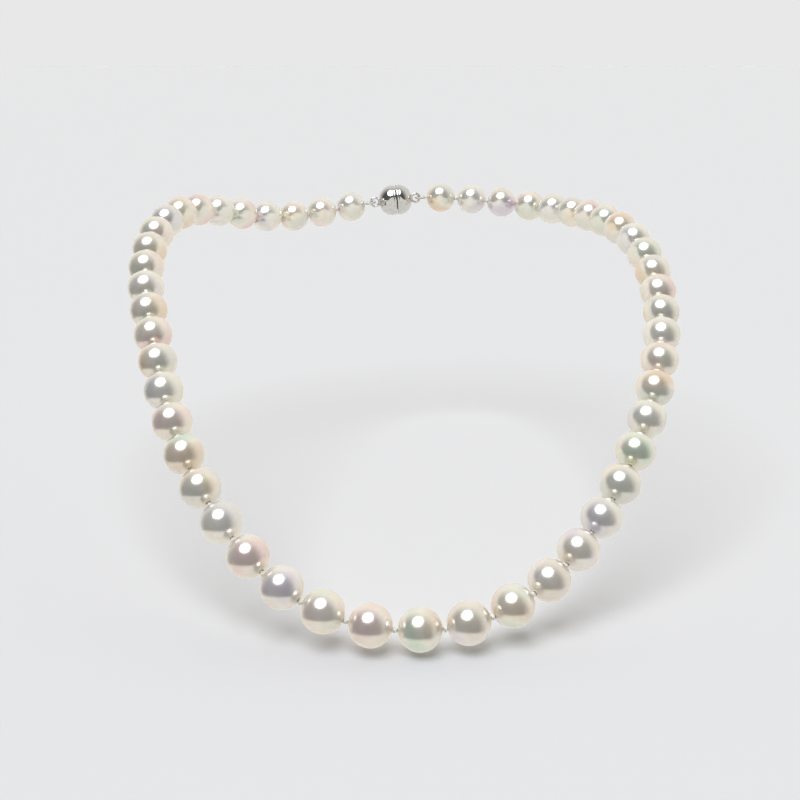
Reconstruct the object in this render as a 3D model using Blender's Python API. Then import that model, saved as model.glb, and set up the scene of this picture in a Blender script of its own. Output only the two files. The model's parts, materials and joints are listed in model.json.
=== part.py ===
"""Single-strand pearl necklace with a knotted silk thread and a magnetic ball clasp.

The strand lies as it does round a neck: the clasp is at the nape, the lowest pearls are in front.
+X is to the right of someone facing the necklace, +Y runs from the front to the nape, +Z is up.
The origin is on the middle pearl, where its back rests on the chest.
Lengths are in millimetres here and are scaled to metres as the meshes are made.
"""
import math

import bmesh
import bpy
import numpy as np
from mathutils import Matrix, Vector

MM = 0.001

# ---- driving dimensions, millimetres ----
PEARL_COUNT = 51
PEARL_DIAMETER = 7.75
DRILL_DIAMETER = 0.9          # hole drilled through each pearl
KNOT_GAP = 0.8                # room that a knot takes between two pearls
THREAD_DIAMETER = 0.4
KNOT_DIAMETER = 1.0
STRAND_TURN = 2.0             # how far the strand has slid round to the right of the nape
TOUCH_GAP = 0.3               # left between pieces that touch

CLASP_DIAMETER = 8.0
CLASP_BAND = 1.0              # straight band of each half beside the parting line
CLASP_DOME = 3.6              # height of each half's dome beyond the band
MAGNET_THICKNESS = 1.6
MAGNET_DIAMETER = 3.6
RIM_WALL = 0.4                # wall of the plug's rim round its magnet
RIM_REACH = 0.9               # how far the rim stands into the socket
RIM_CLEARANCE = 0.4           # between the plug's rim and the socket's wall

RING_WIRE = 0.6               # end ring soldered on each half of the clasp
RING_MEAN_DIAMETER = 2.3
RING_SINK = 0.15              # how deep the ring's wire centre sits in the dome
GIMP_WIRE = 0.7               # outer diameter of the coiled gimp that sheathes the end loops
GIMP_MEAN_DIAMETER = 2.2
GIMP_PEARL_GAP = 0.3

# The strand's line, from the nape down the right side to the front and back up the left side.
# Its shape is what counts: the line is scaled until it is as long as the pieces on it.
LINE = [
    (0, 0, 0),
    (33.5, -8.5, -1),
    (48.5, -36.5, -1),
    (53.5, -55, -3.5),
    (55, -75, -10),
    (51, -102.5, -21.5),
    (35, -135, -43),
    (13, -152, -54.5),
    (0.5, -153.5, -55.5),
    (-18, -150, -51.5),
    (-30.5, -141, -43),
    (-46.5, -112, -23),
    (-50.5, -98, -15.5),
    (-53.5, -87, -10.5),
    (-50.5, -38, 1.5),
    (-30.5, -12.5, -3.5),
]

PEARL_SIDES = 16
PEARL_BANDS = 9
CLASP_SIDES = 20
LINE_STEPS = 2400

# ---- sizes that follow ----
PEARL_RADIUS = PEARL_DIAMETER / 2
CLASP_RADIUS = CLASP_DIAMETER / 2
PITCH = PEARL_DIAMETER + KNOT_GAP
MIDDLE_PEARL = (PEARL_COUNT + 1) // 2
HALF_CLASP = CLASP_BAND + CLASP_DOME
RING_CENTRE = HALF_CLASP - RING_SINK + RING_MEAN_DIAMETER / 2
RING_FAR_WIRE = RING_CENTRE + RING_MEAN_DIAMETER / 2
GIMP_NEAR_WIRE = RING_FAR_WIRE - RING_WIRE / 2 - TOUCH_GAP - GIMP_WIRE / 2
GIMP_CENTRE = GIMP_NEAR_WIRE + GIMP_MEAN_DIAMETER / 2
GIMP_END = GIMP_NEAR_WIRE + GIMP_MEAN_DIAMETER + GIMP_WIRE / 2
RING_PIVOT = RING_FAR_WIRE - RING_WIRE / 2 - TOUCH_GAP / 2
GIMP_PIVOT = GIMP_END + GIMP_PEARL_GAP / 2
END_LINK = GIMP_PEARL_GAP / 2 + PEARL_DIAMETER + KNOT_GAP / 2


def link_lengths():
    """Lengths of the stiff pieces in order, from the middle of the clasp round to it again."""
    gimp_link = GIMP_PIVOT - RING_PIVOT
    pearls = [END_LINK] + [PITCH] * (PEARL_COUNT - 2) + [END_LINK]
    return [RING_PIVOT, gimp_link] + pearls + [gimp_link, RING_PIVOT]


def closed_spline(points):
    """Smooth closed line through the points, as a dense list with its running length."""
    points = np.array(points, dtype=float)
    count = len(points)
    spans = np.linalg.norm(np.roll(points, -1, axis=0) - points, axis=1)
    system = np.zeros((count, count))
    right = np.zeros((count, 3))
    for i in range(count):
        before, after = spans[i - 1], spans[i]
        system[i, i - 1] += before
        system[i, i] += 2 * (before + after)
        system[i, (i + 1) % count] += after
        rise = (points[(i + 1) % count] - points[i]) / after
        fall = (points[i] - points[i - 1]) / before
        right[i] = 6 * (rise - fall)
    bend = np.linalg.solve(system, right)
    dense = []
    for i in range(count):
        j = (i + 1) % count
        span = spans[i]
        steps = max(2, round(LINE_STEPS * span / spans.sum()))
        for u in np.arange(steps) * span / steps:
            v = span - u
            dense.append(
                (bend[i] * v**3 + bend[j] * u**3) / (6 * span)
                + (points[i] / span - bend[i] * span / 6) * v
                + (points[j] / span - bend[j] * span / 6) * u
            )
    dense.append(dense[0])
    dense = np.array(dense)
    lengths = np.concatenate([[0], np.cumsum(np.linalg.norm(np.diff(dense, axis=0), axis=1))])
    return dense, lengths


def pivots():
    """Where the strand bends: each end ring, each gimp end and each knot, in order."""
    line, lengths = closed_spline(LINE)
    stops = np.cumsum(link_lengths())
    scale = stops[-1] / lengths[-1]
    line, lengths = line * scale, lengths * scale
    stops = (stops[:-1] - STRAND_TURN) % lengths[-1]
    places = np.stack([np.interp(stops, lengths, line[:, k]) for k in range(3)], axis=1)
    middle_pearl = (places[MIDDLE_PEARL] + places[MIDDLE_PEARL + 1]) / 2
    places = places - middle_pearl - np.array([0, PEARL_RADIUS, 0])
    return [Vector(place) for place in places]


def frame_along(start, end, place):
    """Matrix whose X axis runs from start to end, with its Z axis as upright as it can be."""
    x_axis = (end - start).normalized()
    y_axis = Vector((0, 0, 1)).cross(x_axis).normalized()
    z_axis = x_axis.cross(y_axis)
    turn = Matrix((x_axis, y_axis, z_axis)).transposed().to_4x4()
    return Matrix.Translation(place * MM) @ turn


def finish_material(name, color, metallic, roughness):
    material = bpy.data.materials.new(name)
    material.use_nodes = True
    shader = material.node_tree.nodes["Principled BSDF"]
    shader.inputs["Base Color"].default_value = (*color, 1)
    shader.inputs["Metallic"].default_value = metallic
    shader.inputs["Roughness"].default_value = roughness
    return material


def add_hinge(name, place):
    """Empty on the axis that the pieces parented to it turn about."""
    hinge = bpy.data.objects.new(name, None)
    hinge.location = place * MM
    bpy.context.collection.objects.link(hinge)
    return hinge


def add_object(name, mesh, material, matrix, hinge=None):
    """Place a piece by its matrix in the necklace's frame, parented to its hinge if it moves."""
    item = bpy.data.objects.new(name, mesh)
    item.parent = hinge
    item.matrix_local = Matrix.Translation(-hinge.location) @ matrix if hinge else matrix
    mesh.materials.clear()
    mesh.materials.append(material)
    bpy.context.collection.objects.link(item)
    return item


def turned_mesh(name, outline, sides):
    """Closed body turned about X from an outline of (along, radius) in millimetres.

    The outline is a closed ring of points, or an open one that ends on the axis at both ends.
    """
    mesh = bpy.data.meshes.new(name)
    shape = bmesh.new()
    verts = [shape.verts.new((along * MM, radius * MM, 0)) for along, radius in outline]
    edges = [shape.edges.new(pair) for pair in zip(verts, verts[1:])]
    if outline[0][1] > 0:
        edges.append(shape.edges.new((verts[-1], verts[0])))
    bmesh.ops.spin(
        shape, geom=verts + edges, axis=(1, 0, 0), cent=(0, 0, 0), angle=math.tau, steps=sides,
        use_merge=True,
    )
    bmesh.ops.remove_doubles(shape, verts=shape.verts, dist=1e-6)
    bmesh.ops.recalc_face_normals(shape, faces=shape.faces)
    shape.to_mesh(mesh)
    shape.free()
    mesh.shade_smooth()
    mesh.set_sharp_from_angle(angle=math.radians(35))
    return mesh


def arc(center, radius_along, radius_out, start, end, steps):
    """Points (along, radius) on an elliptic arc; the angles are in degrees from the axis."""
    points = []
    for i in range(steps + 1):
        angle = math.radians(start + (end - start) * i / steps)
        points.append((center + radius_along * math.cos(angle), radius_out * math.sin(angle)))
    return points


def pearl_mesh():
    """Sphere with an open drill hole along X."""
    mouth = math.degrees(math.asin(DRILL_DIAMETER / PEARL_DIAMETER))
    outline = arc(0, PEARL_RADIUS, PEARL_RADIUS, mouth, 180 - mouth, PEARL_BANDS)
    return turned_mesh("pearl", outline, PEARL_SIDES)


def add_knot_hinges(places):
    """One hinge for each pearl but the middle one: the knot on its side towards the middle."""
    hinges = {}
    for number in range(1, PEARL_COUNT + 1):
        if number != MIDDLE_PEARL:
            knot = places[number + 1] if number < MIDDLE_PEARL else places[number]
            hinges[number] = add_hinge(f"pearl_{number:02d}_hinge", knot)
    return hinges


def add_pearls(places, hinges, material):
    mesh = pearl_mesh()
    for i in range(PEARL_COUNT):
        start, end = places[i + 1], places[i + 2]
        heading = (end - start).normalized()
        if i == 0:
            center = start + heading * (GIMP_PEARL_GAP / 2 + PEARL_RADIUS)
        elif i == PEARL_COUNT - 1:
            center = end - heading * (GIMP_PEARL_GAP / 2 + PEARL_RADIUS)
        else:
            center = (start + end) / 2
        matrix = frame_along(start, end, center)
        add_object(f"pearl_{i + 1:02d}", mesh, material, matrix, hinges.get(i + 1))


def add_thread(places, material):
    """Silk thread through every pearl, with a knot in each gap, as one beaded tube."""
    slim = 1.0
    fat = KNOT_DIAMETER / THREAD_DIAMETER
    knot_half = KNOT_GAP / 2 - KNOT_GAP / 8
    knot_core = knot_half / 2
    knots = places[2:-2]
    first = places[1] + (places[2] - places[1]).normalized() * (GIMP_PEARL_GAP / 2 + TOUCH_GAP)
    last = places[-2] + (places[-3] - places[-2]).normalized() * (GIMP_PEARL_GAP / 2 + TOUCH_GAP)
    route = [(first, slim)]
    for i, knot in enumerate(knots):
        back = (knot - places[i + 1]).normalized()
        ahead = (places[i + 3] - knot).normalized()
        route += [(knot - back * knot_half, slim), (knot - back * knot_core, fat)]
        route += [(knot + ahead * knot_core, fat), (knot + ahead * knot_half, slim)]
    route.append((last, slim))

    curve = bpy.data.curves.new("silk_thread", "CURVE")
    curve.dimensions = "3D"
    curve.bevel_depth = THREAD_DIAMETER / 2 * MM
    curve.bevel_resolution = 1
    curve.use_fill_caps = True
    spline = curve.splines.new("POLY")
    spline.points.add(len(route) - 1)
    for point, (place, radius) in zip(spline.points, route):
        point.co = (*(place * MM), 1)
        point.radius = radius
    add_object("silk_thread", curve, material, Matrix.Identity(4))


def torus_mesh(name, mean_diameter, wire, around, across):
    """Wire ring that lies in the XY plane."""
    mesh = bpy.data.meshes.new(name)
    shape = bmesh.new()
    circle = bmesh.ops.create_circle(
        shape, segments=across, radius=wire / 2 * MM,
        matrix=Matrix.Translation((mean_diameter / 2 * MM, 0, 0)) @ Matrix.Rotation(math.pi / 2, 4, "X"),
    )
    edges = list({edge for vert in circle["verts"] for edge in vert.link_edges})
    bmesh.ops.spin(
        shape, geom=circle["verts"] + edges, axis=(0, 0, 1), cent=(0, 0, 0), angle=math.tau,
        steps=around, use_merge=True,
    )
    bmesh.ops.remove_doubles(shape, verts=shape.verts, dist=1e-6)
    bmesh.ops.recalc_face_normals(shape, faces=shape.faces)
    shape.to_mesh(mesh)
    shape.free()
    mesh.shade_smooth()
    return mesh


def solder_ring(half, matrix):
    """Unite an end ring, edge on to the strand's bend, with a clasp half's dome."""
    mesh = torus_mesh(half.name + "_ring", RING_MEAN_DIAMETER, RING_WIRE, 16, 8)
    stand = Matrix.Translation((RING_CENTRE * MM, 0, 0)) @ Matrix.Rotation(math.pi / 2, 4, "X")
    ring = add_object(half.name + "_ring_tool", mesh, half.active_material, matrix @ stand)
    ring.hide_render = True
    ring.display_type = "WIRE"
    union = half.modifiers.new("ring", "BOOLEAN")
    union.operation = "UNION"
    union.solver = "EXACT"
    union.object = ring


def dome(steps):
    """Outline of a clasp half's outside, from the tip of the dome to the parting line."""
    return arc(CLASP_BAND, CLASP_DOME, CLASP_RADIUS, 0, 90, steps)


def socket_outline():
    magnet_face = RIM_REACH + TOUCH_GAP
    recess = MAGNET_DIAMETER / 2 + TOUCH_GAP + RIM_WALL + RIM_CLEARANCE
    pocket = MAGNET_DIAMETER / 2 + TOUCH_GAP
    floor = magnet_face + MAGNET_THICKNESS + TOUCH_GAP
    inside = [(TOUCH_GAP / 2, CLASP_RADIUS), (TOUCH_GAP / 2, recess), (magnet_face, recess)]
    inside += [(magnet_face, pocket), (floor, pocket), (floor, 0)]
    return dome(7) + inside


def plug_outline():
    pocket = MAGNET_DIAMETER / 2 + TOUCH_GAP
    rim = pocket + RIM_WALL
    floor = MAGNET_THICKNESS - RIM_REACH + TOUCH_GAP
    inside = [(TOUCH_GAP / 2, CLASP_RADIUS), (TOUCH_GAP / 2, rim), (-RIM_REACH, rim)]
    inside += [(-RIM_REACH, pocket), (floor, pocket), (floor, 0)]
    return dome(7) + inside


def magnet_outline(face):
    back = face + MAGNET_THICKNESS
    radius = MAGNET_DIAMETER / 2
    return [(face, 0), (face, radius), (back, radius), (back, 0)]


def add_clasp(places, hinges, metal, magnet, gimp):
    """Two halves that part across the strand, each with its magnet, end ring and gimp loop.

    A half and its magnet swing at the end ring; a gimp loop moves with its end pearl.
    """
    middle = (places[0] + places[-1]) / 2
    sides = {
        "socket": (places[0], places[1], hinges[1], socket_outline(), RIM_REACH + TOUCH_GAP),
        "plug": (places[-1], places[-2], hinges[PEARL_COUNT], plug_outline(), -RIM_REACH),
    }
    for side, (ring_pivot, gimp_pivot, pearl_hinge, outline, magnet_face) in sides.items():
        ring_hinge = add_hinge(f"{side}_ring_hinge", ring_pivot)
        half_frame = frame_along(middle, ring_pivot, middle)
        cup = turned_mesh(side, outline, CLASP_SIDES)
        half = add_object(f"clasp_{side}", cup, metal, half_frame, ring_hinge)
        solder_ring(half, half_frame)
        disc = turned_mesh("magnet", magnet_outline(magnet_face), CLASP_SIDES)
        add_object(f"{side}_magnet", disc, magnet, half_frame, ring_hinge)
        loop_frame = frame_along(ring_pivot, gimp_pivot, ring_pivot)
        reach = Matrix.Translation(((GIMP_CENTRE - RING_PIVOT) * MM, 0, 0))
        loop = torus_mesh("gimp", GIMP_MEAN_DIAMETER, GIMP_WIRE, 14, 8)
        add_object(f"{side}_gimp_loop", loop, gimp, loop_frame @ reach, pearl_hinge)


def main():
    for item in list(bpy.data.objects):
        bpy.data.objects.remove(item, do_unlink=True)
    nacre = finish_material("nacre", (0.86, 0.82, 0.76), 0.0, 0.18)
    silk = finish_material("white_silk", (0.85, 0.83, 0.78), 0.0, 0.7)
    silver = finish_material("rhodium_plated_silver", (0.78, 0.78, 0.8), 1.0, 0.15)
    nickel = finish_material("nickel_plated_magnet", (0.55, 0.55, 0.56), 1.0, 0.25)
    places = pivots()
    hinges = add_knot_hinges(places)
    add_pearls(places, hinges, nacre)
    add_thread(places, silk)
    add_clasp(places, hinges, silver, nickel, silver)


main()
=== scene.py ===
"""Pearl necklace: nacre, knotted silk, gimp and clasp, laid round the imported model.

Each pearl and the thread in its drill hole ride on that pearl's body, and so does the knot on the
pearl's outer side. Sizes are in millimetres unless a comment says otherwise, and become metres
where the meshes are made.
"""
import json
import math
import random

import bpy
from mathutils import Matrix, Vector

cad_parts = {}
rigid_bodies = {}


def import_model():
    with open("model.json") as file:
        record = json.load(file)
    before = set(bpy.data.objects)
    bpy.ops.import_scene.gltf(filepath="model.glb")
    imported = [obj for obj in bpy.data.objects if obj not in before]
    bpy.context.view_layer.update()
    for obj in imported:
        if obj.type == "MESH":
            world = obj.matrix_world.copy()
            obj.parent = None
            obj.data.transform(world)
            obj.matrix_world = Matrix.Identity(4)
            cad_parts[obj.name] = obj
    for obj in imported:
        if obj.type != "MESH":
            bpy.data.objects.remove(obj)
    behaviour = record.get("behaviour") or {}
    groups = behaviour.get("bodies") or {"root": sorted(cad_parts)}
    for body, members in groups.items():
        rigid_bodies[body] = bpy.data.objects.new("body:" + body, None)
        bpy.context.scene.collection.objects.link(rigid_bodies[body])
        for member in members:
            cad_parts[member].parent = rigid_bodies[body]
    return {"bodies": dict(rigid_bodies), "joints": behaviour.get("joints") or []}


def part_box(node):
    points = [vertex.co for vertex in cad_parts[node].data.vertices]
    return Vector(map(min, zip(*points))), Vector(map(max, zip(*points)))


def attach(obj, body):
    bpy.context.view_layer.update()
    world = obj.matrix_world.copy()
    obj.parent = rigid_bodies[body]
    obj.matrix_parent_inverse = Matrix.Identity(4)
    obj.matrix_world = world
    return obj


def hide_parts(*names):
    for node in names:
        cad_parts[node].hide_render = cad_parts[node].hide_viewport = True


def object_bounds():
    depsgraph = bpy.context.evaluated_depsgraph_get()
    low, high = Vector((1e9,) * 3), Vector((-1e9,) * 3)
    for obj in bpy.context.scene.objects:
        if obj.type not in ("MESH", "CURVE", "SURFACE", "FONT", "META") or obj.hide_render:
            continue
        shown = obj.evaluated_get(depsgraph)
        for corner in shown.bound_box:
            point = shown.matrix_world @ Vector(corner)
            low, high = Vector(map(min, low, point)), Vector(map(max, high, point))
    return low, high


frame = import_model()
cad_low, cad_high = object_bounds()

MM = 0.001                    # one millimetre, in metres
SEED = 451
random_source = random.Random(SEED)

# ---- pearls ----
PEARL_RADIUS = 3.875
PEARL_SIDES = 64
PEARL_RINGS = 54              # the second ring from each pole is as wide as the drill hole
PEARL_CREASE = 50             # degrees: shading stays smooth over edges that bend less
LEAST_WIDTH = 0.99            # even a fine pearl is round only to within a hundredth of its width
DRILL_RADIUS = 0.45
DRILL_SLACK = 0.02            # the drill hole's points are looked for this far round its edge
MOUTH_ROUNDING = 0.06         # soft edge that the drill leaves in the nacre

# ---- silk and gimp ----
KNOT_RADIUS = 0.56
KNOT_STRAND = 0.36            # thickness of the doubled silk in a knot
KNOT_SHARE = 0.62             # a knot's length along the strand, as a share of its width
KNOT_STEPS = 54
PLY_DIAMETER = 0.21           # each of the two plies of the thread
PLY_PRESS = 0.9               # the plies press a tenth of the way into each other
THREAD_TURN = 1.3             # length of thread in one turn of its twist
THREAD_STEPS = 10             # points in each turn
THREAD_SET_BACK = 0.15        # a pearl's stretch of thread ends this far inside the knot
END_THREAD = 0.5              # thread that shows between the last pearl and its gimp
GIMP_TUBE = 0.7               # outer diameter of the coiled gimp
GIMP_WIRE = 0.14              # wire that the gimp is coiled from
GIMP_MEAN_RADIUS = 1.1
GIMP_COILS = 42
GIMP_STEPS = 10               # points in each coil
GIMP_CORE_RADIUS = GIMP_TUBE / 2 - 0.7 * GIMP_WIRE      # silk that swells between the coils
TUBE_CREASE = 60              # degrees

# ---- clasp ----
TOUCH_GAP = 0.3               # between the closed halves, and round each magnet
CLASP_RADIUS = 4.0
CLASP_BAND = 1.0
CLASP_DOME = 3.6
CLASP_EDGE = 0.06             # rounding of the plated edges
GROOVE_PLACE = 0.7            # fine turned groove on the band, from the clasp's middle
GROOVE_DEPTH = 0.1
MAGNET_RADIUS = 1.8
MAGNET_THICKNESS = 1.6
MAGNET_EDGE = 0.12
RIM_WALL = 0.4
RIM_REACH = 0.9
RIM_CLEARANCE = 0.4
RING_WIRE = 0.6
RING_MEAN_RADIUS = 1.15
RING_SINK = 0.15
SOLDER_RADIUS = 0.62
SOLDER_SINK = 0.04
SOLDER_RISE = 0.22            # height of the bead, as a share of its radius
DOME_STEPS = 22
TURNED_SIDES = 72
SHARP_ANGLE = 40              # degrees: sharper edges are broken with a rounding
METAL_CREASE = 35             # degrees

# ---- studio ----
FLOOR_HEIGHT = cad_low.z - 0.6 * MM
STUDIO_MIDDLE = 0.06          # metres behind the middle pearl
STUDIO_RADIUS = 9.0           # metres
BACKDROP_TONE = "E8E8E8"
PAPER_TONE = "DDDEE1"
SOFTBOX_DIRECTION = Vector((-0.20, -0.39, 0.90)).normalized()
SOFTBOX_WIDTH = 50            # degrees across, as seen from the necklace
SOFTBOX_LIGHT = 2.35
SOFTBOX_TONE = "FBFCFF"
ROOM_TONE = "F6F3EA"          # cream walls
ROOM_LIGHT = 0.12             # in front of the necklace
BACK_LIGHT = 0.95             # behind it
WINDOW_SIDE = Vector((0.39, 0.92, 0.0))     # the lit end of the room, behind and to the right
WINDOW_EDGE = (-0.30, 0.45)   # how far a direction points to that end as the walls brighten
LOW_LIGHT = 0.95              # pale table all round, where a pearl would mirror the floor
LOW_EDGE = (-0.50, -0.43)     # height of a direction at which that table ends
REFLECTOR_GAP = 5.5           # from the pearls' centres to the reflector's edge
REFLECTOR_RINGS = ((0.0, -3.5), (0.30, 8.0), (0.50, 25.0))     # share of the way in, rise
CAMERA_PLACE = (-0.00342, -0.20754, 0.09497)    # metres
CAMERA_TILT = 75.0            # degrees up from straight down
CAMERA_LENS = 58.6
CAMERA_SENSOR = 36.0


# ---- small helpers ----
def linear(hex_colour):
    """sRGB hex colour, such as F4EADB, as linear RGBA."""
    channels = []
    for i in (0, 2, 4):
        value = int(hex_colour[i:i + 2], 16) / 255
        channels.append(value / 12.92 if value <= 0.04045 else ((value + 0.055) / 1.055) ** 2.4)
    return (*channels, 1.0)


def wire_up(tree, node, links=None, values=None):
    """Set values on a node's sockets, and link sources into them."""
    for name, value in (values or {}).items():
        node.inputs[name].default_value = value
    for name, source in (links or {}).items():
        tree.links.new(source, node.inputs[name])
    return node


def add_node(tree, kind, links=None, values=None, **settings):
    """Add a node with its settings, links and values."""
    node = tree.nodes.new(kind)
    for name, value in settings.items():
        setattr(node, name, value)
    return wire_up(tree, node, links, values)


def clear_selection():
    if bpy.context.object and bpy.context.object.mode != "OBJECT":
        bpy.ops.object.mode_set(mode="OBJECT")
    bpy.ops.object.select_all(action="DESELECT")


def make_active(piece):
    clear_selection()
    piece.select_set(True)
    bpy.context.view_layer.objects.active = piece


def pick(piece, kind, wanted):
    """Select, in edit mode, only the faces or edges whose place satisfies wanted.

    A face's place is its centre, and an edge needs both its ends to satisfy wanted.
    """
    bpy.ops.object.mode_set(mode="EDIT")
    bpy.ops.mesh.select_mode(type=kind)
    bpy.ops.mesh.select_all(action="DESELECT")
    bpy.ops.object.mode_set(mode="OBJECT")
    mesh = piece.data
    if kind == "FACE":
        for face in mesh.polygons:
            face.select = wanted(face.center)
    else:
        for edge in mesh.edges:
            edge.select = all(wanted(mesh.vertices[i].co) for i in edge.vertices)
    bpy.ops.object.mode_set(mode="EDIT")


def close_seams(piece, merge):
    """Merge points that lie closer than merge, and turn every face outwards."""
    make_active(piece)
    bpy.ops.object.mode_set(mode="EDIT")
    bpy.ops.mesh.select_all(action="SELECT")
    bpy.ops.mesh.remove_doubles(threshold=merge * MM)
    bpy.ops.mesh.normals_make_consistent(inside=False)
    bpy.ops.object.mode_set(mode="OBJECT")


def smooth(piece, crease):
    """Shade a piece smooth, except over edges that bend more than crease, in degrees."""
    make_active(piece)
    bpy.ops.object.shade_smooth_by_angle(angle=math.radians(crease))


def settle(piece):
    """Put the piece's place and turn into its mesh."""
    make_active(piece)
    bpy.ops.object.transform_apply(location=True, rotation=True, scale=True)


def lay_piece(piece, matrix, material):
    """Move a piece's mesh to its place and give it its finish."""
    piece.data.transform(matrix)
    piece.data.materials.clear()
    piece.data.materials.append(material)
    return piece


def copy_piece(template, name, matrix, material):
    """Copy a modelled piece, with its own mesh, and lay the copy in its place."""
    mesh = template.data.copy()
    mesh.name = name
    piece = bpy.data.objects.new(name, mesh)
    bpy.context.scene.collection.objects.link(piece)
    return lay_piece(piece, matrix, material)


def dress(piece, body, nodes):
    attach(piece, body)
    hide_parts(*nodes)


# ---- places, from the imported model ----
JOINTS = {joint["name"]: joint for joint in frame["joints"]}
PEARL_COUNT = sum(1 for body in frame["bodies"] if body.startswith("pearl_"))
MIDDLE_PEARL = (PEARL_COUNT + 1) // 2


def pearl_name(number):
    return f"pearl_{number:02d}"


def centre_of(node):
    low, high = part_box(node)
    return (low + high) / 2


def knot_place(lower):
    """The knot between pearl `lower` and the next one."""
    name = "strand_open" if lower == MIDDLE_PEARL else f"knot_{lower:02d}"
    return Vector(JOINTS[name]["pos_m"])


pearl_centres = {i: centre_of(pearl_name(i)) for i in range(1, PEARL_COUNT + 1)}
knots = {i: knot_place(i) for i in range(1, PEARL_COUNT)}
ring_pivots = {side: Vector(JOINTS[f"{side}_ring_swing"]["pos_m"]) for side in ("socket", "plug")}
clasp_middle = (ring_pivots["socket"] + ring_pivots["plug"]) / 2


def pearl_heading(number):
    """Direction of the drill hole, from the socket's end of the strand to the plug's."""
    if number == 1:
        return knots[1] - pearl_centres[1]
    if number == PEARL_COUNT:
        return pearl_centres[number] - knots[number - 1]
    return knots[number] - knots[number - 1]


def frame_along(heading, place):
    """Matrix whose X axis runs along heading, with its Z axis as upright as it can be."""
    x_axis = heading.normalized()
    y_axis = Vector((0, 0, 1)).cross(x_axis).normalized()
    z_axis = x_axis.cross(y_axis)
    turn = Matrix((x_axis, y_axis, z_axis)).transposed().to_4x4()
    return Matrix.Translation(place) @ turn


def random_roll():
    return Matrix.Rotation(random_source.uniform(0, math.tau), 4, "X")


# ---- finishes ----
def new_material(name, values):
    """Material whose shader has these values on its own sockets."""
    material = bpy.data.materials.new(name)
    material.use_nodes = True
    tree = material.node_tree
    shader = wire_up(tree, tree.nodes["Principled BSDF"], values=values)
    return material, tree, shader


# Akoya nacre: hundreds of thin crystal layers over a white bead. The layers mirror sharply, the
# milk-white body glows softly under them, and the thickness of the layers gives each pearl its
# own overtone. Body colour, overtone on one side, overtone on the other, film thickness in nm.
NACRES = {
    "rose": ("F8F0E6", "F1DFDA", "ECEDE0", 330),
    "green": ("F7F2E6", "DFEADB", "F1E2D2", 410),
    "silver": ("F5F3EC", "E8E7E8", "ECECE2", 300),
    "lavender": ("F6F1EB", "E7E0EA", "EEE7DB", 360),
    "champagne": ("F9F0E2", "F2DFC8", "E9E8E0", 380),
}
OVERTONE_DRIFT = 7.0          # overtones drift into one another over half a pearl
GROWTH_SPOTS = 0.9            # shallow spots, seen only as a slight unevenness of gloss
GROWTH_DEPTH = 0.02
SILK_FILAMENTS = 0.08         # coarser than the real ones, which are too fine to show
SILK_RELIEF = 0.03
HAZE_RELIEF = 0.01


def nacre(overtone):
    body, first, second, film = NACRES[overtone]
    material, tree, shader = new_material(f"nacre_{overtone}", {
        "Metallic": 0.6,
        "Roughness": 0.23,
        "IOR": 1.6,
        "Subsurface Weight": 0.15,
        "Subsurface Radius": (1.0, 0.75, 0.55),
        "Subsurface Scale": 0.8 * MM,
        "Coat Weight": 0.4,
        "Coat Roughness": 0.15,
        "Coat IOR": 1.5,
        "Thin Film Thickness": film,
        "Thin Film IOR": 1.4,
    })
    place = add_node(tree, "ShaderNodeTexCoord")
    drift = add_node(
        tree, "ShaderNodeTexNoise", {"Vector": place.outputs["Object"]},
        {"Scale": 1 / (OVERTONE_DRIFT * MM), "Detail": 1.0, "Roughness": 0.4},
    )
    tone = add_node(tree, "ShaderNodeValToRGB", {"Fac": drift.outputs["Fac"]})
    stops = tone.color_ramp.elements
    stops[0].position, stops[0].color = 0.36, linear(first)
    stops[1].position, stops[1].color = 0.64, linear(second)
    middle = stops.new(0.5)
    middle.color = linear(body)
    spots = add_node(
        tree, "ShaderNodeTexNoise", {"Vector": place.outputs["Object"]},
        {"Scale": 1 / (GROWTH_SPOTS * MM), "Detail": 3.0, "Roughness": 0.5},
    )
    bump = add_node(
        tree, "ShaderNodeBump", {"Height": spots.outputs["Fac"]},
        {"Strength": 0.12, "Distance": GROWTH_DEPTH * MM},
    )
    wire_up(tree, shader, {"Base Color": tone.outputs["Color"], "Normal": bump.outputs["Normal"]})
    return material


def twisted_silk():
    """Bleached silk: two plies, soft gloss along the filaments, a little fuzz."""
    material, tree, shader = new_material("twisted_silk", {
        "Roughness": 0.55,
        "Subsurface Weight": 0.4,
        "Subsurface Radius": (1.0, 0.95, 0.85),
        "Subsurface Scale": 0.25 * MM,
        "Sheen Weight": 0.35,
        "Sheen Roughness": 0.4,
    })
    place = add_node(tree, "ShaderNodeTexCoord")
    filaments = add_node(
        tree, "ShaderNodeTexNoise", {"Vector": place.outputs["Object"]},
        {"Scale": 1 / (SILK_FILAMENTS * MM), "Detail": 2.0, "Roughness": 0.6},
    )
    tone = add_node(tree, "ShaderNodeValToRGB", {"Fac": filaments.outputs["Fac"]})
    stops = tone.color_ramp.elements
    stops[0].position, stops[0].color = 0.3, linear("EFE9DC")
    stops[1].position, stops[1].color = 0.7, linear("FFFDF6")
    bump = add_node(
        tree, "ShaderNodeBump", {"Height": filaments.outputs["Fac"]},
        {"Strength": 0.5, "Distance": SILK_RELIEF * MM},
    )
    wire_up(tree, shader, {"Base Color": tone.outputs["Color"], "Normal": bump.outputs["Normal"]})
    return material


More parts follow.
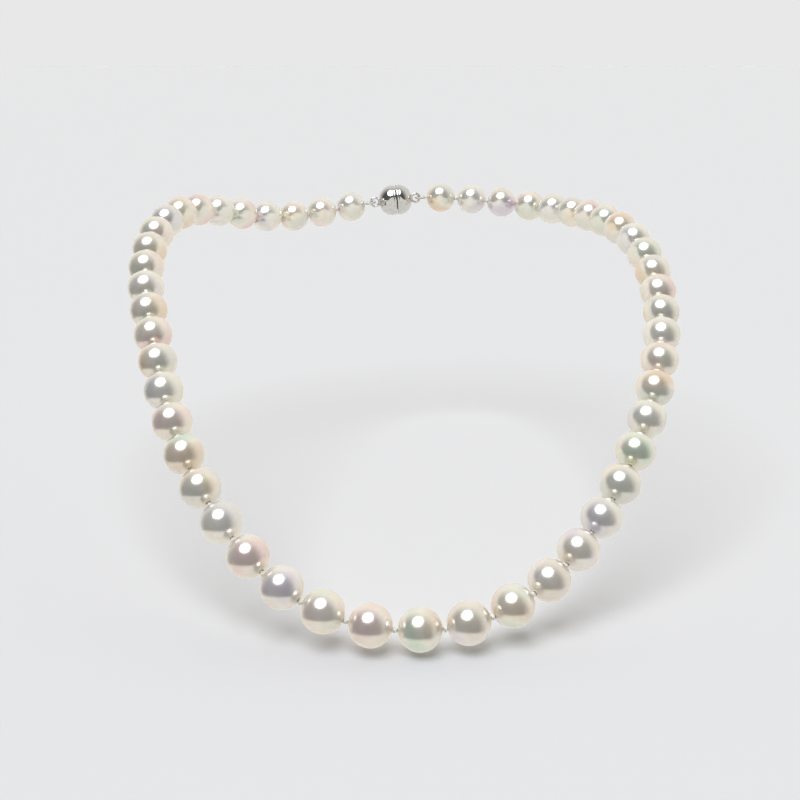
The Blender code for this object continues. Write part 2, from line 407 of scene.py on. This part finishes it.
def polished_metal(name, dark, light, roughness, haze_size):
    """Polished plate: mirror-bright, with a faint uneven haze left by the polishing mop."""
    material, tree, shader = new_material(name, {"Metallic": 1.0})
    place = add_node(tree, "ShaderNodeTexCoord")
    haze = add_node(
        tree, "ShaderNodeTexNoise", {"Vector": place.outputs["Object"]},
        {"Scale": 1 / (haze_size * MM), "Detail": 4.0, "Roughness": 0.6},
    )
    tone = add_node(tree, "ShaderNodeValToRGB", {"Fac": haze.outputs["Fac"]})
    stops = tone.color_ramp.elements
    stops[0].position, stops[0].color = 0.3, linear(dark)
    stops[1].position, stops[1].color = 0.7, linear(light)
    gloss = add_node(
        tree, "ShaderNodeMapRange", {"Value": haze.outputs["Fac"]},
        {"From Min": 0.3, "From Max": 0.7, "To Min": roughness * 0.8, "To Max": roughness * 1.4},
    )
    bump = add_node(
        tree, "ShaderNodeBump", {"Height": haze.outputs["Fac"]},
        {"Strength": 0.15, "Distance": HAZE_RELIEF * MM},
    )
    wire_up(tree, shader, {
        "Base Color": tone.outputs["Color"],
        "Roughness": gloss.outputs["Result"],
        "Normal": bump.outputs["Normal"],
    })
    return material


def matte_paper():
    """Smooth pale paper under the necklace."""
    return new_material("matte_paper", {
        "Base Color": linear(PAPER_TONE),
        "Roughness": 0.9,
        "Specular IOR Level": 0.1,
    })[0]


def plain_glow(name, tone, strength):
    """Surface that gives off an even light and mirrors nothing."""
    return new_material(name, {
        "Base Color": linear("000000"),
        "Specular IOR Level": 0.0,
        "Emission Color": linear(tone),
        "Emission Strength": strength,
    })[0]


nacres = {overtone: nacre(overtone) for overtone in NACRES}
silk = twisted_silk()
# Rhodium plate over silver: cold white, mirror finish.
rhodium = polished_metal("rhodium_plated_silver", "C9CACC", "DEDEE0", 0.09, 0.5)
# Fine silver wire: warmer and softer, because each coil catches the light apart.
gimp_silver = polished_metal("silver_gimp_wire", "C4C3BF", "E6E4DF", 0.22, 0.2)
# Nickel plate: slightly yellow and duller than the rhodium.
nickel = polished_metal("nickel_plated_magnet", "9E9B94", "B5B2AA", 0.24, 0.3)


# ---- pearls ----
def model_pearl():
    """Fine round pearl, drilled through along X, with softly rounded drill mouths."""
    clear_selection()
    bpy.ops.mesh.primitive_uv_sphere_add(
        segments=PEARL_SIDES, ring_count=PEARL_RINGS, radius=PEARL_RADIUS * MM,
    )
    pearl = bpy.context.object
    pearl.rotation_euler = (0, math.pi / 2, 0)
    settle(pearl)
    drilled = (DRILL_RADIUS + DRILL_SLACK) * MM
    pick(pearl, "FACE", lambda at: math.hypot(at.y, at.z) < drilled)
    bpy.ops.mesh.delete(type="FACE")
    pick(pearl, "EDGE", lambda at: math.hypot(at.y, at.z) < drilled)
    bpy.ops.mesh.bridge_edge_loops(number_cuts=3, smoothness=0, profile_shape_factor=0)
    mouth = (math.sqrt(PEARL_RADIUS ** 2 - DRILL_RADIUS ** 2) - DRILL_SLACK) * MM
    pick(pearl, "EDGE", lambda at: abs(at.x) > mouth and math.hypot(at.y, at.z) < drilled)
    bpy.ops.mesh.bevel(offset=MOUTH_ROUNDING * MM, segments=2, profile=0.5)
    bpy.ops.mesh.select_all(action="SELECT")
    bpy.ops.mesh.normals_make_consistent(inside=False)
    smooth(pearl, PEARL_CREASE)
    return pearl


# Overtones in order from the middle pearl outwards, as the stringer matched them.
TOWARDS_PLUG = [
    "green", "rose", "rose", "lavender", "rose", "silver", "champagne", "green", "rose",
    "silver", "champagne", "rose", "champagne", "silver", "rose", "champagne", "rose", "silver",
    "champagne", "rose", "silver", "rose", "silver", "champagne", "rose", "silver",
]
TOWARDS_SOCKET = [
    "lavender", "green", "lavender", "lavender", "silver", "champagne", "green", "silver",
    "champagne", "rose", "silver", "champagne", "rose", "champagne", "rose", "silver",
    "champagne", "rose", "rose", "champagne", "silver", "rose", "lavender", "silver", "champagne",
]


def overtone_of(number):
    if number >= MIDDLE_PEARL:
        return TOWARDS_PLUG[number - MIDDLE_PEARL]
    return TOWARDS_SOCKET[MIDDLE_PEARL - number - 1]


def lay_pearls():
    template = model_pearl()
    for number, centre in pearl_centres.items():
        node = pearl_name(number)
        roll = random_roll()
        squash = Matrix.Diagonal((*(random_source.uniform(LEAST_WIDTH, 1) for _ in range(3)), 1))
        matrix = frame_along(pearl_heading(number), centre) @ roll @ squash
        piece = copy_piece(template, f"nacre_{node}", matrix, nacres[overtone_of(number)])
        dress(piece, node, [node])
    bpy.data.objects.remove(template)


# ---- silk ----
def tube_along(name, points, thickness, roundness, closed=False):
    """Round tube along a line through points, which are in metres, made a mesh."""
    curve = bpy.data.curves.new(name, "CURVE")
    curve.dimensions = "3D"
    curve.bevel_depth = thickness / 2 * MM
    curve.bevel_resolution = roundness
    curve.use_fill_caps = not closed
    line = curve.splines.new("POLY")
    line.points.add(len(points) - 1)
    line.use_cyclic_u = closed
    for point, place in zip(line.points, points):
        point.co = (*place, 1)
    piece = bpy.data.objects.new(name, curve)
    bpy.context.scene.collection.objects.link(piece)
    make_active(piece)
    bpy.ops.object.convert(target="MESH")
    close_seams(piece, merge=0.001)
    smooth(piece, TUBE_CREASE)
    return piece


def model_knot():
    """Overhand knot, pulled tight between two pearls: three lobes of doubled silk."""
    reach = (KNOT_RADIUS - KNOT_STRAND / 2) * MM
    points = []
    for i in range(KNOT_STEPS):
        t = math.tau * i / KNOT_STEPS
        along = KNOT_SHARE * reach * math.sin(3 * t)
        across = (2 + math.cos(3 * t)) / 3 * reach
        points.append(Vector((along, across * math.cos(2 * t), across * math.sin(2 * t))))
    return tube_along("knot", points, KNOT_STRAND, roundness=3, closed=True)


def ply(start, end, side):
    """One ply of a two-ply thread that runs along X from start to end, in metres."""
    length = end - start
    steps = round(length / (THREAD_TURN * MM) * THREAD_STEPS)
    offset = PLY_DIAMETER / 2 * MM * PLY_PRESS
    line = []
    for i in range(steps + 1):
        along = start + length * i / steps
        turn = math.tau * along / (THREAD_TURN * MM) + side * math.pi
        line.append(Vector((along, offset * math.cos(turn), offset * math.sin(turn))))
    return line


def model_thread(start, end, name):
    """Two twisted plies from start to end along X, in metres, as one piece."""
    plies = [
        tube_along(f"{name}_{side}", ply(start, end, side), PLY_DIAMETER, roundness=1)
        for side in (0, 1)
    ]
    make_active(plies[0])
    plies[1].select_set(True)
    bpy.ops.object.join()
    return plies[0]


def lay_silk():
    knot_template = model_knot()
    half_pitch = (knots[MIDDLE_PEARL] - knots[MIDDLE_PEARL - 1]).length / 2
    inner = half_pitch - THREAD_SET_BACK * MM
    thread_template = model_thread(-inner, inner, "thread")
    end_template = model_thread(-(PEARL_RADIUS + END_THREAD) * MM, inner, "end_thread")
    for number, centre in pearl_centres.items():
        template = end_template if number in (1, PEARL_COUNT) else thread_template
        heading = pearl_heading(number)
        if number == PEARL_COUNT:
            heading = -heading
        matrix = frame_along(heading, centre)
        piece = copy_piece(template, f"silk_in_{pearl_name(number)}", matrix, silk)
        dress(piece, pearl_name(number), ["silk_thread"])
    for number, place in knots.items():
        # A knot belongs to the pearl on its side towards the middle of the strand.
        owner = number if number >= MIDDLE_PEARL else number + 1
        before, after = pearl_heading(number).normalized(), pearl_heading(number + 1).normalized()
        matrix = frame_along(before + after, place) @ random_roll()
        piece = copy_piece(knot_template, f"silk_knot_{number:02d}", matrix, silk)
        dress(piece, pearl_name(owner), ["silk_thread"])
    for template in (knot_template, thread_template, end_template):
        bpy.data.objects.remove(template)


# ---- clasp ----
def turned(name, outline):
    """Round body turned about X: an outline of (along, radius) points spun round."""
    clear_selection()
    bpy.ops.mesh.primitive_plane_add(size=MM)
    piece = bpy.context.object
    piece.name = piece.data.name = name
    bpy.ops.object.mode_set(mode="EDIT")
    bpy.ops.mesh.select_mode(type="VERT")
    bpy.ops.mesh.select_all(action="SELECT")
    bpy.ops.mesh.merge(type="CENTER")
    places = [Vector((along, radius, 0)) * MM for along, radius in outline]
    bpy.ops.transform.translate(value=places[0])
    for before, place in zip(places, places[1:]):
        bpy.ops.mesh.extrude_vertices_move(TRANSFORM_OT_translate={"value": place - before})
    bpy.ops.mesh.select_all(action="SELECT")
    bpy.ops.mesh.spin(steps=TURNED_SIDES, angle=math.tau, center=(0, 0, 0), axis=(1, 0, 0))
    close_seams(piece, merge=0.0005)
    return piece


def round_edges(piece, width):
    """Break every sharp edge of a piece with a small rounding."""
    make_active(piece)
    bevel = piece.modifiers.new("rounding", "BEVEL")
    bevel.width = width * MM
    bevel.segments = 2
    bevel.limit_method = "ANGLE"
    bevel.angle_limit = math.radians(SHARP_ANGLE)
    bpy.ops.object.modifier_apply(modifier=bevel.name)


def dome_outline():
    """Outside of a clasp half, from the tip of its dome to the groove on its band."""
    points = []
    for i in range(DOME_STEPS + 1):
        angle = math.pi / 2 * i / DOME_STEPS
        points.append((CLASP_BAND + CLASP_DOME * math.cos(angle), CLASP_RADIUS * math.sin(angle)))
    return points + [
        (GROOVE_PLACE + GROOVE_DEPTH, CLASP_RADIUS),
        (GROOVE_PLACE, CLASP_RADIUS - GROOVE_DEPTH),
        (GROOVE_PLACE - GROOVE_DEPTH, CLASP_RADIUS),
    ]


def half_outline(side):
    """Outline of a clasp half: the socket's recess or the plug's rim, round a magnet's pocket."""
    pocket = MAGNET_RADIUS + TOUCH_GAP
    rim = pocket + RIM_WALL
    face = TOUCH_GAP / 2
    if side == "socket":
        step, mouth = rim + RIM_CLEARANCE, RIM_REACH + TOUCH_GAP
        floor = mouth + MAGNET_THICKNESS + TOUCH_GAP
    else:
        step, mouth = rim, -RIM_REACH
        floor = MAGNET_THICKNESS - RIM_REACH + TOUCH_GAP
    return dome_outline() + [
        (face, CLASP_RADIUS), (face, step), (mouth, step), (mouth, pocket), (floor, pocket),
        (floor, 0),
    ]


def model_solder_bead(tip):
    """Low bead of solder on the tip of the dome."""
    clear_selection()
    bpy.ops.mesh.primitive_uv_sphere_add(
        segments=36, ring_count=18, radius=SOLDER_RADIUS * MM,
        location=((tip - SOLDER_SINK) * MM, 0, 0), rotation=(0, math.pi / 2, 0),
        scale=(1, 1, SOLDER_RISE),
    )
    bead = bpy.context.object
    settle(bead)
    return bead


def model_end_ring(tip):
    """Ring of round wire, sunk a little into the tip of the dome."""
    clear_selection()
    bpy.ops.mesh.primitive_torus_add(
        location=((tip - RING_SINK + RING_MEAN_RADIUS) * MM, 0, 0), rotation=(math.pi / 2, 0, 0),
        major_radius=RING_MEAN_RADIUS * MM, minor_radius=RING_WIRE / 2 * MM,
        major_segments=48, minor_segments=20,
    )
    ring = bpy.context.object
    settle(ring)
    return ring


def solder_on(body, piece):
    """Join a piece onto a body as one solid."""
    make_active(body)
    union = body.modifiers.new("soldered", "BOOLEAN")
    union.operation = "UNION"
    union.solver = "EXACT"
    union.object = piece
    bpy.ops.object.modifier_apply(modifier=union.name)
    bpy.data.objects.remove(piece)


def model_clasp_half(side):
    """Domed half with its stepped face, its bead of solder and its end ring."""
    half = turned(f"clasp_{side}_half", half_outline(side))
    round_edges(half, CLASP_EDGE)
    tip = CLASP_BAND + CLASP_DOME
    solder_on(half, model_solder_bead(tip))
    solder_on(half, model_end_ring(tip))
    # Needle-thin faces where the solids cross go when their points are merged.
    close_seams(half, merge=0.003)
    smooth(half, METAL_CREASE)
    return half


def model_magnet(side):
    face = RIM_REACH + TOUCH_GAP if side == "socket" else -RIM_REACH
    back = face + MAGNET_THICKNESS
    disc = turned(f"{side}_magnet_disc", [
        (face, 0), (face, MAGNET_RADIUS), (back, MAGNET_RADIUS), (back, 0),
    ])
    round_edges(disc, MAGNET_EDGE)
    smooth(disc, METAL_CREASE)
    return disc


def model_gimp():
    """Fine wire coiled into a soft tube and bent into a loop, closed where it meets the pearl."""
    tube = (GIMP_TUBE - GIMP_WIRE) / 2 * MM
    points = []
    steps = GIMP_COILS * GIMP_STEPS
    for i in range(steps):
        loop = math.tau * i / steps
        coil = math.tau * GIMP_COILS * i / steps
        out = Vector((math.cos(loop), math.sin(loop), 0))
        middle = out * GIMP_MEAN_RADIUS * MM
        points.append(middle + (out * math.cos(coil) + Vector((0, 0, 1)) * math.sin(coil)) * tube)
    return tube_along("gimp", points, GIMP_WIRE, roundness=1, closed=True)


def model_gimp_core():
    """The silk that runs inside the gimp and shows between its coils."""
    clear_selection()
    bpy.ops.mesh.primitive_torus_add(
        major_radius=GIMP_MEAN_RADIUS * MM, minor_radius=GIMP_CORE_RADIUS * MM,
        major_segments=48, minor_segments=10,
    )
    core = bpy.context.object
    bpy.ops.object.shade_smooth()
    return core


def lay_clasp():
    coil, core = model_gimp(), model_gimp_core()
    for side, number in (("socket", 1), ("plug", PEARL_COUNT)):
        half_frame = frame_along(ring_pivots[side] - clasp_middle, clasp_middle)
        half = lay_piece(model_clasp_half(side), half_frame, rhodium)
        dress(half, f"clasp_{side}", [f"clasp_{side}"])
        disc = lay_piece(model_magnet(side), half_frame, nickel)
        dress(disc, f"clasp_{side}", [f"{side}_magnet"])
        loop_centre = centre_of(f"{side}_gimp_loop")
        loop_frame = frame_along(loop_centre - ring_pivots[side], loop_centre)
        loop = copy_piece(coil, f"{side}_gimp_coil", loop_frame, gimp_silver)
        dress(loop, pearl_name(number), [f"{side}_gimp_loop"])
        inside = copy_piece(core, f"{side}_gimp_silk", loop_frame, silk)
        dress(inside, pearl_name(number), ["silk_thread"])
    for template in (coil, core):
        bpy.data.objects.remove(template)


# ---- floor, light and camera ----
def stage_unseen(piece, *rays):
    """Keep a piece of the studio from what these kinds of ray see."""
    for ray in rays:
        setattr(piece, f"visible_{ray}", False)


def lay_floor():
    clear_selection()
    bpy.ops.mesh.primitive_circle_add(
        vertices=128, radius=STUDIO_RADIUS, fill_type="NGON",
        location=(0, STUDIO_MIDDLE, FLOOR_HEIGHT),
    )
    floor = bpy.context.object
    floor.name = "floor"
    settle(floor)
    floor.data.materials.append(matte_paper())
    # The pearls mirror the room's own pale lower half, which has the same level edge for each.
    stage_unseen(floor, "glossy")


def hang_backdrop():
    """Pale seamless backdrop all round; it lights nothing, because the studio's light does."""
    clear_selection()
    bpy.ops.mesh.primitive_uv_sphere_add(segments=48, ring_count=24, radius=STUDIO_RADIUS)
    backdrop = bpy.context.object
    backdrop.name = "backdrop"
    backdrop.data.materials.append(plain_glow("seamless_backdrop", BACKDROP_TONE, 1.0))
    stage_unseen(backdrop, "diffuse", "glossy", "transmission", "shadow")


def stand_reflector():
    """White reflector inside the loop: only the pearls see it, on the side towards the neck."""
    loop = [*pearl_centres.values(), clasp_middle]
    count = len(loop)
    middle = sum(loop, Vector()) / count
    places = []
    for reach, rise in REFLECTOR_RINGS:
        for place in loop:
            inward = Vector((middle.x - place.x, middle.y - place.y, 0))
            edge = place + inward.normalized() * REFLECTOR_GAP * MM + inward * reach
            places.append((edge.x, edge.y, edge.z + rise * MM))
    last_ring = count * (len(REFLECTOR_RINGS) - 1)
    faces = [
        (i + ring, (i + 1) % count + ring, (i + 1) % count + ring + count, i + ring + count)
        for ring in range(0, last_ring, count) for i in range(count)
    ]
    faces.append(tuple(range(last_ring, last_ring + count)))
    mesh = bpy.data.meshes.new("reflector")
    mesh.from_pydata(places, [], faces)
    reflector = bpy.data.objects.new("reflector", mesh)
    bpy.context.scene.collection.objects.link(reflector)
    mesh.materials.append(plain_glow("white_reflector", ROOM_TONE, BACK_LIGHT))
    stage_unseen(reflector, "camera", "diffuse", "transmission", "shadow")


def light_room():
    """A cream room, dark in front, and lit behind and below."""
    world = bpy.data.worlds.new("studio")
    bpy.context.scene.world = world
    world.use_nodes = True
    tree = world.node_tree
    direction = add_node(tree, "ShaderNodeTexCoord")
    parts = add_node(tree, "ShaderNodeSeparateXYZ", {"Vector": direction.outputs["Generated"]})
    to_window = add_node(
        tree, "ShaderNodeVectorMath", {0: direction.outputs["Generated"]}, {1: WINDOW_SIDE},
        operation="DOT_PRODUCT",
    )
    behind = add_node(
        tree, "ShaderNodeMapRange", {"Value": to_window.outputs["Value"]},
        {"From Min": WINDOW_EDGE[0], "From Max": WINDOW_EDGE[1],
         "To Min": ROOM_LIGHT, "To Max": BACK_LIGHT},
    )
    below = add_node(
        tree, "ShaderNodeMapRange", {"Value": parts.outputs["Z"]},
        {"From Min": LOW_EDGE[0], "From Max": LOW_EDGE[1], "To Min": LOW_LIGHT, "To Max": 0.0},
    )
    lit = add_node(
        tree, "ShaderNodeMath", {0: behind.outputs["Result"], 1: below.outputs["Result"]},
        operation="MAXIMUM",
    )
    wire_up(
        tree, tree.nodes["Background"], {"Strength": lit.outputs["Value"]},
        {"Color": linear(ROOM_TONE)},
    )


def hang_softbox():
    """One big soft light overhead, a little in front and to the left."""
    softbox = bpy.data.lights.new("softbox", "SUN")
    softbox.angle = math.radians(SOFTBOX_WIDTH)
    softbox.energy = SOFTBOX_LIGHT
    softbox.color = linear(SOFTBOX_TONE)[:3]
    lamp = bpy.data.objects.new("softbox", softbox)
    lamp.rotation_mode = "QUATERNION"
    lamp.rotation_quaternion = SOFTBOX_DIRECTION.to_track_quat("Z", "Y")
    bpy.context.scene.collection.objects.link(lamp)


def add_camera():
    camera = bpy.data.cameras.new("camera")
    camera.sensor_width = CAMERA_SENSOR
    camera.lens = CAMERA_LENS
    camera.clip_start, camera.clip_end = 0.01, 3 * STUDIO_RADIUS
    stand = bpy.data.objects.new("camera", camera)
    stand.location = CAMERA_PLACE
    stand.rotation_euler = (math.radians(CAMERA_TILT), 0, 0)
    bpy.context.scene.collection.objects.link(stand)
    bpy.context.scene.camera = stand


add_camera()
lay_floor()
hang_backdrop()
stand_reflector()
light_room()
hang_softbox()
bpy.context.scene.view_settings.view_transform = "Standard"

lay_pearls()
lay_silk()
lay_clasp()
